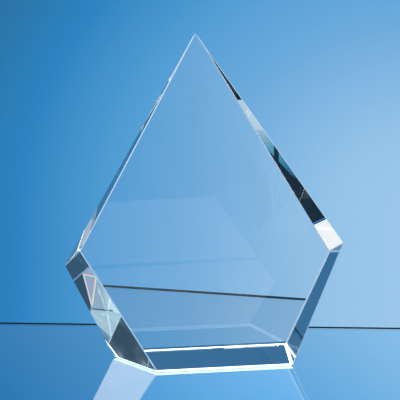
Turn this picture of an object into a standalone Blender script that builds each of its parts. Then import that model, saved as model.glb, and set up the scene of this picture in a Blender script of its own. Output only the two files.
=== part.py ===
"""Crystal award: one block of clear optical glass, cut and polished as a leaning kite.

The front is a five-sided kite that leans back, the back is upright, and the two planes meet at the
apex. The sides are cut square to the front, so they flare a little towards the back of the base.
Every edge is ground to a narrow flat, an arris, and the edges round the underside to a wider one.

Metres, +Z up. The front faces -Y, and the origin is in the middle of the underside's extent.
"""

import math

import bmesh
import bpy
from mathutils import Matrix, Vector

# Driving dimensions
HEIGHT = 0.200                  # underside to where the front and back planes meet
LEAN = math.radians(17.5)       # how far the front leans back from upright
FOOT_WIDTH = 0.0840             # along the front's bottom edge
WAIST_WIDTH = 0.1664            # across the kite's widest point
WAIST_HEIGHT = 0.0707           # above the underside, on the front
ARRIS = 0.0008                  # width of the flat ground on an edge
BASE_ARRIS = 0.0020             # width of the flats round the underside
OVERSHOOT = 0.030               # how far the rough prism runs past the planes that trim it

# What follows from them
DEPTH = HEIGHT * math.tan(LEAN)         # from the front's foot to the upright back
FRONT_Y = -DEPTH / 2
BACK_Y = DEPTH / 2
WAIST_SLANT = WAIST_HEIGHT / math.cos(LEAN)
APEX_SLANT = HEIGHT / math.cos(LEAN)
INWARD = Vector((0.0, math.cos(LEAN), -math.sin(LEAN)))    # square to the front, into the block

CRYSTAL_COLOUR = (0.93, 0.97, 1.0, 1.0)
CRYSTAL_IOR = 1.517
SAME_POINT = 1e-7


def clear_scene():
    for obj in list(bpy.data.objects):
        bpy.data.objects.remove(obj, do_unlink=True)


def make_collection(name):
    collection = bpy.data.collections.new(name)
    bpy.context.scene.collection.children.link(collection)
    return collection


def crystal_material():
    material = bpy.data.materials.new("optical_crystal")
    material.use_nodes = True
    shader = material.node_tree.nodes["Principled BSDF"]
    shader.inputs["Base Color"].default_value = CRYSTAL_COLOUR
    shader.inputs["Roughness"].default_value = 0.02
    shader.inputs["Metallic"].default_value = 0.0
    shader.inputs["IOR"].default_value = CRYSTAL_IOR
    shader.inputs["Transmission Weight"].default_value = 1.0
    material.diffuse_color = CRYSTAL_COLOUR
    return material


def kite_outline():
    """The front's corners as (across, up the slant). The lower sides run on below the underside."""
    foot = FOOT_WIDTH / 2
    waist = WAIST_WIDTH / 2
    taper = (waist - foot) / WAIST_SLANT
    low = foot - taper * OVERSHOOT
    return [
        (-low, -OVERSHOOT),
        (low, -OVERSHOOT),
        (waist, WAIST_SLANT),
        (0.0, APEX_SLANT),
        (-waist, WAIST_SLANT),
    ]


def kite_prism(name, collection):
    """The outline swept square to the leaning front, from its face to well past the upright back."""
    sweep = DEPTH + OVERSHOOT
    curve = bpy.data.curves.new(name + "_outline", "CURVE")
    curve.dimensions = "2D"
    curve.fill_mode = "BOTH"
    curve.extrude = sweep / 2
    spline = curve.splines.new("POLY")
    corners = kite_outline()
    spline.points.add(len(corners) - 1)
    for point, (across, slant) in zip(spline.points, corners):
        point.co = (across, slant, 0.0, 1.0)
    spline.use_cyclic_u = True

    # Local Y runs up the slant and local Z out of the front, so the sweep is centred behind it.
    drawn = bpy.data.objects.new(name + "_outline", curve)
    collection.objects.link(drawn)
    middle = Vector((0.0, FRONT_Y, 0.0)) + INWARD * sweep / 2
    drawn.matrix_world = Matrix.Translation(middle) @ Matrix.Rotation(math.pi / 2 - LEAN, 4, "X")
    bpy.context.view_layer.update()

    evaluated = drawn.evaluated_get(bpy.context.evaluated_depsgraph_get())
    mesh = bpy.data.meshes.new_from_object(evaluated)
    mesh.name = name
    mesh.transform(drawn.matrix_world)
    bpy.data.objects.remove(drawn, do_unlink=True)
    prism = bpy.data.objects.new(name, mesh)
    collection.objects.link(prism)
    return prism


def grind_flat(block, point, outward):
    """Takes off all of the block that lies outside the plane through point, and closes the cut."""
    everything = block.verts[:] + block.edges[:] + block.faces[:]
    cut = bmesh.ops.bisect_plane(
        block, geom=everything, dist=SAME_POINT, plane_co=point, plane_no=outward, clear_outer=True
    )
    rim = [item for item in cut["geom_cut"] if isinstance(item, bmesh.types.BMEdge)]
    bmesh.ops.holes_fill(block, edges=rim)


def arris_plane(edge):
    """A point and the outward normal of the flat that an edge is ground to."""
    ends = [vert.co.copy() for vert in edge.verts]
    first, second = (face.normal for face in edge.link_faces)
    outward = (first + second).normalized()
    half_angle = (math.pi - first.angle(second)) / 2
    on_underside = all(end.z < SAME_POINT for end in ends)
    width = BASE_ARRIS if on_underside else ARRIS
    return ends[0] - outward * (width / 2 / math.tan(half_angle)), outward


def centre_front_to_back(block):
    """Grinding the foot takes more off the front than the back, so the origin is set afterwards."""
    depths = [vert.co.y for vert in block.verts]
    middle = (min(depths) + max(depths)) / 2
    bmesh.ops.translate(block, verts=block.verts, vec=(0.0, -middle, 0.0))


def crystal_block(collection):
    obj = kite_prism("crystal_block", collection)
    block = bmesh.new()
    block.from_mesh(obj.data)
    bmesh.ops.remove_doubles(block, verts=block.verts, dist=SAME_POINT)
    grind_flat(block, Vector((0.0, BACK_Y, 0.0)), Vector((0.0, 1.0, 0.0)))
    grind_flat(block, Vector((0.0, 0.0, 0.0)), Vector((0.0, 0.0, -1.0)))
    bmesh.ops.dissolve_limit(block, angle_limit=math.radians(1), verts=block.verts, edges=block.edges)
    bmesh.ops.recalc_face_normals(block, faces=block.faces)
    for point, outward in [arris_plane(edge) for edge in block.edges]:
        grind_flat(block, point, outward)
    bmesh.ops.recalc_face_normals(block, faces=block.faces)
    centre_front_to_back(block)
    block.to_mesh(obj.data)
    block.free()
    obj.data.materials.clear()
    obj.data.materials.append(crystal_material())
    return obj


def main():
    clear_scene()
    crystal_block(make_collection("crystal_award"))


main()
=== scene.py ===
import math

import bmesh
import bpy
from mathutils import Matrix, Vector

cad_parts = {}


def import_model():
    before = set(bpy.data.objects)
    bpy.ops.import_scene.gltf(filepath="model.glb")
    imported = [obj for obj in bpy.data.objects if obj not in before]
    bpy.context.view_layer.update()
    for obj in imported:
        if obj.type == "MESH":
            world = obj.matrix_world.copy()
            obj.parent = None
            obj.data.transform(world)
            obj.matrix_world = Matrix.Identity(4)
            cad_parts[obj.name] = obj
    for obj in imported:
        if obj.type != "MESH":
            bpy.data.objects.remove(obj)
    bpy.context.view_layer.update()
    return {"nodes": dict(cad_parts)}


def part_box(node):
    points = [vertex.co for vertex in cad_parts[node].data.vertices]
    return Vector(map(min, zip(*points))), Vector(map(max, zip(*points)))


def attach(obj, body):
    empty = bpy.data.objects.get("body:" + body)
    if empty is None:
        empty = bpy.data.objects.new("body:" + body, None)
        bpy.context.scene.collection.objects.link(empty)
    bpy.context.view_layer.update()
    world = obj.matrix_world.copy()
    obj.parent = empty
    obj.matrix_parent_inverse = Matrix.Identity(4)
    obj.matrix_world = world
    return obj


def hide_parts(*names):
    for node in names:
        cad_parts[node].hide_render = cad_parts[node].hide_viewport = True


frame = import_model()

# A block of optical crystal, lit in a plain blue studio. Everything is in metres, +Z up, and the
# block faces -Y. An azimuth is measured from +Y towards +X, and an elevation from the horizon.

block_low, block_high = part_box("crystal_block")
block_middle = (block_low + block_high) / 2

# The camera
VIEW_AZIMUTH = math.radians(-16.79)
VIEW_ELEVATION = math.radians(4.38)
VIEW_DISTANCE = 1.0933
VIEW_OFFSET = Vector((-0.0064, 0, -0.0012))
LENS = 162.8
SENSOR = 36

# The glass
POLISHED_IOR = 1.517
WELD = 0.000001
SAME_PLANE = 0.9999         # the cosine above which two faces count as one plane
POLISHED_AREA = 0.001       # every polished plane is larger, and every ground one smaller
BASE_BEVEL_TOP = 0.003      # just above the bevels round the underside
FRONT_BAND = 0.0013         # how high the ground part of a bevel, which carries the painted glow, goes at the front and left
BACK_BAND = 0.0004          # and at the back and right
FACES_FRONT = -0.05         # a normal with a lower y faces the front
FACES_LEFT = -0.3           # a normal with a lower x faces left
POLISHED, BASE_GROUND, EDGE_GROUND = range(3)

# The table: a glossy sheet that ends in a slanted far edge behind the block
TABLE_REACH = 3.0
TABLE_EDGE_LEFT = Vector((-0.028, 0.1635, 0))
TABLE_EDGE_RIGHT = Vector((0.098, 0.1125, 0))
TABLE_LEVEL = -0.0002
TABLE_IOR = 1.5
TABLE_PAINTED_LIGHT_FADE = 0.35           # painted light and shade: its colour runs from deep blue at -X to pale at +X over this far each way
EDGE_STRIP_DEPTH = 0.0035
EDGE_STRIP_HEIGHT = 0.0006

# The cards that lie under the clear table, seen through the block
CARD_LEVEL = -0.1
FRINGE_LEVEL = CARD_LEVEL + 0.002
PANEL_LEVEL = CARD_LEVEL - 0.002
BLUE_LEVEL = CARD_LEVEL - 0.005
FRONT_PANEL_LEVEL = -0.003
FRONT_PANEL_SIDES = (-0.16, 0.08)
DARK_EDGE_START = Vector((-0.0285, 0.19))
DARK_EDGE_END = Vector((-0.0085, 0.23))
FRINGE_ON_WHITE = Vector((0.0003, 0))
FRINGE_ON_DARK = Vector((0.0009, 0))
BLUE_FROM = -0.110
BLUE_TO = -0.058
BLACK = (0, 0.001, 0.002)
WHITE = (1.0, 1.02, 1.03)
BRIGHT_WHITE = (1.2, 1.25, 1.3)

# The cards in front of the block, on planes across (azimuth, elevation, distance)
FAR = (160, -2, 0.162)
NEAR = (160, -2, 0.161)
NEAREST = (160, -2, 0.160)
DIM_STUDIO_PLACE = (-43, 27, 0.35)
PRISM_TIP = (-0.0535, -0.080)
PRISM_LEFT = (-0.0515, -0.0555)
PRISM_RIGHT = (-0.0635, -0.046)
UV_CORNERS = ((0, 0), (0, 1), (1, 1), (1, 0))

# The backdrop's light, in degrees
GLOW_AZIMUTH = 24
GLOW_ELEVATION = -5
GLOW_UPWARD = 1.12          # it falls off this much faster upwards than sideways
GLOW_RIGHTWARD = 0.25       # and only this fast to the right
GLOW_REACH = 100
BELOW_STARTS = -20
BELOW_WHOLE = -36
BELOW_COLOUR = (0.48, 0.66, 0.78)
SOFTBOX_AZIMUTH = 105
SOFTBOX_SIDES = (26, 14)
SOFTBOX_BOTTOM = (2, 9)
SOFTBOX_TOP = (60, 48)
SOFTBOX_COLOUR = (1.25, 1.32, 1.28)

# The colour sockets of a Mix node, whose names repeat
MIX_FIRST = 6
MIX_SECOND = 7
MIX_RESULT = 2


# node helpers

def calc(tree, operation, *values):
    """The output of a math node; each value is a number or another node's output."""
    node = tree.nodes.new("ShaderNodeMath")
    node.operation = operation
    for socket, value in zip(node.inputs, values):
        if isinstance(value, bpy.types.NodeSocket):
            tree.links.new(value, socket)
        else:
            socket.default_value = value
    return node.outputs[0]


def remap(tree, value, low, high, to_low=0.0, to_high=1.0, smooth=True):
    """value taken from low..high to to_low..to_high, and held at the ends."""
    node = tree.nodes.new("ShaderNodeMapRange")
    node.interpolation_type = "SMOOTHSTEP" if smooth else "LINEAR"
    tree.links.new(value, node.inputs["Value"])
    node.inputs["From Min"].default_value = low
    node.inputs["From Max"].default_value = high
    node.inputs["To Min"].default_value = to_low
    node.inputs["To Max"].default_value = to_high
    return node.outputs["Result"]


def ramp(tree, factor, stops):
    """A colour ramp through (position, colour) stops."""
    node = tree.nodes.new("ShaderNodeValToRGB")
    elements = node.color_ramp.elements
    while len(elements) > 1:
        elements.remove(elements[-1])
    elements[0].position = stops[0][0]
    elements[0].color = (*stops[0][1], 1)
    for position, colour in stops[1:]:
        elements.new(position).color = (*colour, 1)
    tree.links.new(factor, node.inputs["Fac"])
    return node.outputs["Color"]


def place(tree, kind="Object"):
    return tree.nodes.new("ShaderNodeTexCoord").outputs[kind]


def noise(tree, scale, detail, distortion=0.0):
    """Fractal noise in the object's own space."""
    node = tree.nodes.new("ShaderNodeTexNoise")
    node.inputs["Scale"].default_value = scale
    node.inputs["Detail"].default_value = detail
    node.inputs["Distortion"].default_value = distortion
    tree.links.new(place(tree), node.inputs["Vector"])
    return node.outputs["Fac"]


def split(tree, vector):
    """The X, Y and Z outputs of a vector."""
    node = tree.nodes.new("ShaderNodeSeparateXYZ")
    tree.links.new(vector, node.inputs["Vector"])
    return node.outputs


def blend_to(tree, factor, first, colour):
    """first, blended into a plain colour by factor."""
    node = tree.nodes.new("ShaderNodeMix")
    node.data_type = "RGBA"
    tree.links.new(factor, node.inputs["Factor"])
    tree.links.new(first, node.inputs[MIX_FIRST])
    node.inputs[MIX_SECOND].default_value = (*colour, 1)
    return node.outputs[MIX_RESULT]


def mix_shader(tree, factor, first, second):
    node = tree.nodes.new("ShaderNodeMixShader")
    tree.links.new(factor, node.inputs[0])
    tree.links.new(first, node.inputs[1])
    tree.links.new(second, node.inputs[2])
    return node.outputs[0]


def new_material(name):
    material = bpy.data.materials.new(name)
    material.use_nodes = True
    return material, material.node_tree, material.node_tree.nodes["Principled BSDF"]


# scene helpers

def direction(azimuth, elevation):
    """The unit vector for angles in degrees."""
    turn = math.radians(azimuth)
    rise = math.radians(elevation)
    return Vector((math.sin(turn) * math.cos(rise), math.cos(turn) * math.cos(rise), math.sin(rise)))


def link_object(name, data):
    thing = bpy.data.objects.new(name, data)
    bpy.context.scene.collection.objects.link(thing)
    return thing


# materials of the object

def polished_crystal():
    """Clear glass with the faint streaks of its melt and the faint bloom of its polish."""
    material, tree, shader = new_material("polished_crystal")
    streaks = noise(tree, 14, 2, 1.5)
    tint = ramp(tree, streaks, ((0.35, (0.985, 0.994, 1.0)), (0.65, (1.0, 1.0, 1.0))))
    tree.links.new(tint, shader.inputs["Base Color"])
    bloom = noise(tree, 60, 6)
    tree.links.new(remap(tree, bloom, 0.55, 0.8, 0.0, 0.01), shader.inputs["Roughness"])
    shader.inputs["IOR"].default_value = POLISHED_IOR
    shader.inputs["Transmission Weight"].default_value = 1
    return material


def ground_arris(name, transmission, painted_glow):
    """Fine-ground glass: it scatters the light that the block gathers, and its painted glow, an emission,
    stands in for that light.
    """
    material, tree, shader = new_material(name)
    grain = noise(tree, 2500, 4)
    tone = ramp(tree, grain, ((0.3, (0.88, 0.92, 0.95)), (0.65, (0.97, 0.99, 1.0))))
    tree.links.new(tone, shader.inputs["Base Color"])
    tree.links.new(remap(tree, grain, 0.3, 0.7, 0.25, 0.5), shader.inputs["Roughness"])
    shader.inputs["IOR"].default_value = POLISHED_IOR
    shader.inputs["Transmission Weight"].default_value = transmission
    shader.inputs["Emission Color"].default_value = (0.88, 0.95, 1, 1)
    shader.inputs["Emission Strength"].default_value = painted_glow
    return material


# the object

def finish_of(work, face):
    """The material of a face: ground on the edges and low on the base's bevels, polished elsewhere."""
    plane = [other for other in work.faces if other.normal.dot(face.normal) > SAME_PLANE]
    area = sum(other.calc_area() for other in plane)
    height = face.calc_center_median().z - block_low.z
    in_front = face.normal.y < FACES_FRONT or face.normal.x < FACES_LEFT
    band = FRONT_BAND if in_front else BACK_BAND
    if area > POLISHED_AREA or band < height < BASE_BEVEL_TOP:
        return POLISHED
    return BASE_GROUND if height < band else EDGE_GROUND


def crystal_body():
    """The block as the CAD has it, with its bevels divided into a ground and a polished part."""
    mesh = frame["nodes"]["crystal_block"].data.copy()
    mesh.name = "crystal_body"
    mesh.materials.clear()
    mesh.materials.append(polished_crystal())
    # painted light: the ground band low on the base's bevels glows bright white, and the ground edges glow
    # faintly
    mesh.materials.append(ground_arris("base_arris", 0.0, 2.0))
    mesh.materials.append(ground_arris("edge_arris", 0.6, 0.08))
    work = bmesh.new()
    work.from_mesh(mesh)
    bmesh.ops.remove_doubles(work, verts=work.verts, dist=WELD)
    for band in (FRONT_BAND, BACK_BAND):
        bmesh.ops.bisect_plane(
            work,
            geom=list(work.verts) + list(work.edges) + list(work.faces),
            plane_co=(0, 0, block_low.z + band),
            plane_no=(0, 0, 1),
            dist=WELD,
        )
    for face in work.faces:
        face.material_index = finish_of(work, face)
        face.smooth = False
    work.to_mesh(mesh)
    work.free()
    piece = link_object("crystal_body", mesh)
    piece.visible_shadow = False
    piece.visible_diffuse = False
    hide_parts("crystal_block")
    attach(piece, "root")


# cards

def plain(name, colour):
    """A card material that shines evenly, for the surfaces that aren't part of the object."""
    material = bpy.data.materials.new(name)
    material.use_nodes = True
    tree = material.node_tree
    tree.nodes.clear()
    emission = tree.nodes.new("ShaderNodeEmission")
    emission.name = "emission"
    emission.inputs["Color"].default_value = (*colour, 1)
    output = tree.nodes.new("ShaderNodeOutputMaterial")
    tree.links.new(emission.outputs[0], output.inputs["Surface"])
    return material


def shining(name, build):
    """A card material whose colour build(tree) makes."""
    material = plain(name, (1, 1, 1))
    tree = material.node_tree
    tree.links.new(build(tree), tree.nodes["emission"].inputs["Color"])
    return material


def painted_dispersion_colours(tree):
    """Painted dispersion: the colours of a prism, from one side of a line card to the other."""
    return ramp(tree, split(tree, place(tree, "UV"))["X"], (
        (0.00, (0.10, 0.35, 0.60)),
        (0.20, (0.10, 0.75, 0.85)),
        (0.38, (0.65, 1.05, 0.55)),
        (0.52, (1.35, 1.25, 0.75)),
        (0.68, (1.25, 0.55, 0.40)),
        (0.85, (1.10, 0.60, 0.95)),
        (1.00, (0.60, 0.62, 0.80)),
    ))


def dim_studio_shade(tree):
    """Painted shade: near black, with paler wisps, for the dim surroundings that the lower-left face shows.
    """
    return ramp(tree, noise(tree, 45, 5, 0.6), (
        (0.42, (0.000, 0.001, 0.002)),
        (0.58, (0.040, 0.060, 0.075)),
        (0.74, (0.320, 0.420, 0.480)),
    ))


def falling_blue(tree):
    """Pale at -X, and nearly black at +X."""
    return ramp(tree, remap(tree, split(tree, place(tree))["X"], BLUE_FROM, BLUE_TO, smooth=False), (
        (0.00, (0.34, 0.54, 0.68)),
        (0.35, (0.10, 0.34, 0.52)),
        (0.75, (0.02, 0.17, 0.32)),
        (1.00, (0.01, 0.07, 0.15)),
    ))


def pale_to_lilac(tree):
    """White at the left, through pale blue and grey, to lilac at the right."""
    return ramp(tree, split(tree, place(tree, "UV"))["X"], (
        (0.00, (0.95, 1.10, 1.10)),
        (0.30, (0.66, 0.88, 0.95)),
        (0.52, (0.34, 0.50, 0.62)),
        (0.80, (0.42, 0.46, 0.66)),
    ))


def flat_card(name, corners, level, material):
    mesh = bpy.data.meshes.new(name)
    mesh.from_pydata([(x, y, level) for x, y in corners], [], [range(len(corners))])
    mesh.materials.append(material)
    card = link_object(name, mesh)
    return card


def glass_only(card):
    """Only what the crystal refracts sees the card."""
    card.visible_camera = False
    card.visible_diffuse = False
    card.visible_glossy = False
    card.visible_shadow = False


def low_card(name, corners, colour, level=CARD_LEVEL):
    glass_only(flat_card(name, corners, level, plain(name, colour)))


def wall_card(name, where, corners, material):
    """A card across the direction where = (azimuth, elevation, distance); corners go right and up on it."""
    azimuth, elevation, distance = where
    outward = direction(azimuth, elevation)
    right = Vector((outward.y, -outward.x, 0)).normalized()
    up = right.cross(outward)
    middle = block_middle + outward * distance
    mesh = bpy.data.meshes.new(name)
    shape = bmesh.new()
    layer = shape.loops.layers.uv.new("across")
    face = shape.faces.new([shape.verts.new(middle + right * u + up * w) for u, w in corners])
    for loop, spot in zip(face.loops, UV_CORNERS):
        loop[layer].uv = spot
    shape.to_mesh(mesh)
    shape.free()
    mesh.materials.append(material)
    card = link_object(name, mesh)
    glass_only(card)


def line_card(name, start, end, width, material):
    """A thin card along a line; its UV runs from 0 on the line's left to 1 on its right."""
    along = (Vector(end) - Vector(start)).normalized()
    aside = Vector((along.y, -along.x)) * (width / 2)
    corners = [Vector(start) - aside, Vector(end) - aside, Vector(end) + aside, Vector(start) + aside]
    wall_card(name, NEAREST, corners, material)


# the table

def table_sheet():
    """A pale glossy sheet, which the crystal's own rays pass through as they do through clear acrylic."""
    material, tree, shader = new_material("table_sheet")
    # painted light and shade: the sheet's colour is darker at -X and paler at +X
    across = remap(tree, split(tree, place(tree))["X"], -TABLE_PAINTED_LIGHT_FADE, TABLE_PAINTED_LIGHT_FADE, smooth=False)
    tone = ramp(tree, across, (
        (0.00, (0.010, 0.15, 0.36)),
        (0.28, (0.012, 0.16, 0.38)),
        (0.50, (0.140, 0.40, 0.65)),
        (0.72, (0.420, 0.70, 0.90)),
        (1.00, (0.500, 0.75, 0.92)),
    ))
    tree.links.new(tone, shader.inputs["Base Color"])
    shader.inputs["Roughness"].default_value = 0.03
    shader.inputs["IOR"].default_value = TABLE_IOR
    clear = tree.nodes.new("ShaderNodeBsdfTransparent")
    mirror = tree.nodes.new("ShaderNodeBsdfGlossy")
    mirror.inputs["Roughness"].default_value = 0
    fresnel = tree.nodes.new("ShaderNodeFresnel")
    fresnel.inputs["IOR"].default_value = TABLE_IOR
    seen_through = mix_shader(tree, fresnel.outputs[0], clear.outputs[0], mirror.outputs[0])
    path = tree.nodes.new("ShaderNodeLightPath")
    by_glass = calc(tree, "MAXIMUM", path.outputs["Is Transmission Ray"], path.outputs["Is Glossy Ray"])
    shown = mix_shader(tree, by_glass, shader.outputs[0], seen_through)
    tree.links.new(shown, tree.nodes["Material Output"].inputs["Surface"])
    return material


def table():
    along = (TABLE_EDGE_RIGHT - TABLE_EDGE_LEFT).normalized()
    middle = (TABLE_EDGE_LEFT + TABLE_EDGE_RIGHT) / 2
    left = middle - along * TABLE_REACH
    right = middle + along * TABLE_REACH
    forward = Vector((along.y, -along.x, 0)) * TABLE_REACH
    corners = [(p.x, p.y) for p in (left, left + forward, right + forward, right)]
    flat_card("table", corners, TABLE_LEVEL, table_sheet())
    behind = Vector((-along.y, along.x, 0)) * EDGE_STRIP_DEPTH
    strip = bpy.data.meshes.new("table_edge")
    shape = bmesh.new()
    lower = [shape.verts.new(p) for p in (left, right, right + behind, left + behind)]
    bottom = shape.faces.new(lower)
    raised = bmesh.ops.extrude_face_region(shape, geom=[bottom])["geom"]
    tops = [item for item in raised if isinstance(item, bmesh.types.BMVert)]
    bmesh.ops.translate(shape, verts=tops, vec=(0, 0, EDGE_STRIP_HEIGHT))
    shape.to_mesh(strip)
    shape.free()
    strip.materials.append(plain("table_edge", (0.005, 0.02, 0.035)))
    link_object("table_edge", strip)


# the cards in their places

def low_cards():
    """What the right edge, the base and the front's faint reflections show."""
    low_card("panel_below", (
        (0.04, -0.20), (0.155, -0.20), (0.155, 0.05), (0.02, 0.21),
        (-0.035, 0.24), (-0.035, 0.175), (0.04, 0.13),
    ), WHITE, PANEL_LEVEL)
    low_card("dark_near", (
        DARK_EDGE_START, DARK_EDGE_END, (-0.03, 0.27), (-0.10, 0.34), (-0.108, 0.317), (-0.062, 0.254),
    ), BLACK)
    low_card("dark_far", ((-0.139, 0.31), (-0.139, 0.37), (-0.210, 0.44), (-0.210, 0.36)), BLACK)
    low_card("charcoal", (
        (0.110, 0.13), (0.30, 0.13), (0.30, 0.30), (0.10, 0.30),
    ), (0.008, 0.018, 0.030))
    low_card("blue_right", (
        (0.158, 0.02), (0.30, 0.00), (0.30, 0.129), (0.158, 0.129),
    ), (0.05, 0.24, 0.48))
    glass_only(flat_card("blue_left", (
        (-0.110, 0.28), (-0.055, 0.21), (-0.055, 0.27), (-0.110, 0.34),
    ), BLUE_LEVEL, shining("blue_left", falling_blue)))
    low_card("blue_fringe", (
        DARK_EDGE_START - FRINGE_ON_WHITE,
        DARK_EDGE_START + FRINGE_ON_DARK,
        DARK_EDGE_END + FRINGE_ON_DARK,
        DARK_EDGE_END - FRINGE_ON_WHITE,
    ), (0.05, 0.25, 0.80), FRINGE_LEVEL)
    low_card("dim_below", (
        (-0.10, -0.16), (0.00, -0.16), (0.035, 0.12), (-0.02, 0.17), (-0.06, 0.0),
    ), (0.02, 0.05, 0.08))
    # the gap between these two panels is the faint dark line that the front shows
    left, right = FRONT_PANEL_SIDES
    for name, low, high in (("panel_front_far", -0.187, -0.105), ("panel_front_near", -0.101, -0.035)):
        corners = ((left, low), (right, low), (right, high), (left, high))
        low_card(name, corners, BRIGHT_WHITE, FRONT_PANEL_LEVEL)


def side_cards():
    """What the lower-left face shows: a panel in front with lines of painted dispersion, and a near-black
    cloudy card behind, painted shade for the dim surroundings.
    """
    wall_card("far_panel", FAR, (
        (-0.085, -0.100), (-0.085, -0.020), (-0.045, -0.020), (-0.045, -0.100),
    ), shining("far_panel", pale_to_lilac))
    wall_card("far_pale", NEAR, (
        (-0.052, -0.084), (-0.074, -0.0645), (-0.090, -0.055), (-0.090, -0.100), (-0.048, -0.100),
    ), plain("far_pale", (0.45, 0.70, 0.80)))
    wall_card("far_dark", NEAR, (
        (-0.0515, -0.0575), (-0.053, -0.078), (-0.051, -0.086), (-0.042, -0.098), (-0.030, -0.040),
    ), plain("far_dark", (0.004, 0.012, 0.025)))
    # painted dispersion: the crystal's rainbow fringes are painted on these line cards
    prism = shining("prism", painted_dispersion_colours)
    line_card("prism_long", PRISM_TIP, PRISM_LEFT, width=0.0022, material=prism)
    line_card("prism_short", PRISM_TIP, PRISM_RIGHT, width=0.0018, material=prism)
    line_card("prism_low", (-0.052, -0.087), (-0.066, -0.0855), width=0.0014, material=prism)
    line_card("prism_top", PRISM_LEFT, PRISM_RIGHT, width=0.0012, material=prism)
    seam = plain("far_seam", (0.06, 0.11, 0.15))
    line_card("far_seam", (-0.053, -0.0825), (-0.074, -0.064), width=0.0010, material=seam)
    # painted shade: a near-black cloudy card for the dim surroundings
    wall_card("dim_studio_shade", DIM_STUDIO_PLACE, (
        (-0.02, -0.14), (-0.02, 0.03), (0.13, 0.03), (0.13, -0.14),
    ), shining("dim_studio_shade", dim_studio_shade))


# light and camera

def backdrop(tree, azimuth, elevation):
    """Light that falls off round one bright spot behind the block, from pale to deep blue."""
    leftward = calc(tree, "ADD", calc(tree, "SUBTRACT", GLOW_AZIMUTH, azimuth), 360)
    leftward = calc(tree, "MODULO", leftward, 360)
    rightward = calc(tree, "MULTIPLY", calc(tree, "SUBTRACT", 360, leftward), GLOW_RIGHTWARD)
    sideways = calc(tree, "MINIMUM", leftward, rightward)
    upward = calc(tree, "MAXIMUM", calc(tree, "SUBTRACT", elevation, GLOW_ELEVATION), 0)
    upward = calc(tree, "MULTIPLY", upward, GLOW_UPWARD)
    squares = calc(tree, "ADD", calc(tree, "POWER", sideways, 2), calc(tree, "POWER", upward, 2))
    away = calc(tree, "DIVIDE", calc(tree, "SQRT", squares), GLOW_REACH)
    return ramp(tree, away, (
        (0.00, (0.330, 0.58, 0.84)),
        (0.03, (0.305, 0.55, 0.81)),
        (0.07, (0.155, 0.41, 0.72)),
        (0.10, (0.085, 0.34, 0.66)),
        (0.13, (0.025, 0.23, 0.53)),
        (0.15, (0.025, 0.18, 0.40)),
        (0.20, (0.025, 0.14, 0.30)),
        (0.28, (0.040, 0.15, 0.31)),
        (0.50, (0.095, 0.25, 0.44)),
        (1.00, (0.200, 0.37, 0.56)),
    ))


def softbox(tree, azimuth, elevation):
    """1 inside the softbox at the block's right, and 0 outside it."""
    aside = calc(tree, "ABSOLUTE", calc(tree, "SUBTRACT", azimuth, SOFTBOX_AZIMUTH))
    from_bottom = remap(tree, elevation, *SOFTBOX_BOTTOM)
    from_top = remap(tree, elevation, *SOFTBOX_TOP)
    in_height = calc(tree, "MULTIPLY", from_bottom, from_top)
    return calc(tree, "MULTIPLY", remap(tree, aside, *SOFTBOX_SIDES), in_height)


def world():
    surroundings = bpy.data.worlds.new("studio")
    bpy.context.scene.world = surroundings
    surroundings.use_nodes = True
    tree = surroundings.node_tree
    x, y, z = split(tree, place(tree, "Generated"))
    azimuth = calc(tree, "DEGREES", calc(tree, "ARCTAN2", x, y))
    elevation = calc(tree, "DEGREES", calc(tree, "ARCSINE", z))
    below = remap(tree, elevation, BELOW_STARTS, BELOW_WHOLE)
    around = blend_to(tree, below, backdrop(tree, azimuth, elevation), BELOW_COLOUR)
    lit = blend_to(tree, softbox(tree, azimuth, elevation), around, SOFTBOX_COLOUR)
    tree.links.new(lit, tree.nodes["Background"].inputs["Color"])


def lamp(name, azimuth, elevation, distance, size, power):
    data = bpy.data.lights.new(name, "AREA")
    data.size = size
    data.energy = power
    thing = link_object(name, data)
    outward = direction(azimuth, elevation)
    thing.location = block_middle + outward * distance
    thing.rotation_mode = "QUATERNION"
    thing.rotation_quaternion = outward.to_track_quat("Z", "Y")
    thing.visible_camera = False
    thing.visible_glossy = False
    thing.visible_transmission = False


def camera():
    data = bpy.data.cameras.new("camera")
    data.lens = LENS
    data.sensor_width = SENSOR
    thing = link_object("camera", data)
    back = Vector((
        math.sin(VIEW_AZIMUTH) * math.cos(VIEW_ELEVATION),
        -math.cos(VIEW_AZIMUTH) * math.cos(VIEW_ELEVATION),
        math.sin(VIEW_ELEVATION),
    ))
    thing.location = block_middle + VIEW_OFFSET + back * VIEW_DISTANCE
    thing.rotation_mode = "QUATERNION"
    thing.rotation_quaternion = (-back).to_track_quat("-Z", "Y")
    bpy.context.scene.camera = thing


camera()
world()
table()
low_cards()
side_cards()
lamp("overhead", azimuth=200, elevation=70, distance=1.5, size=1.2, power=22)
lamp("front_fill", azimuth=190, elevation=20, distance=1.8, size=1.2, power=10)
crystal_body()

scene = bpy.context.scene
scene.view_settings.view_transform = "Standard"
scene.cycles.max_bounces = 32
scene.cycles.transmission_bounces = 32
scene.cycles.glossy_bounces = 24
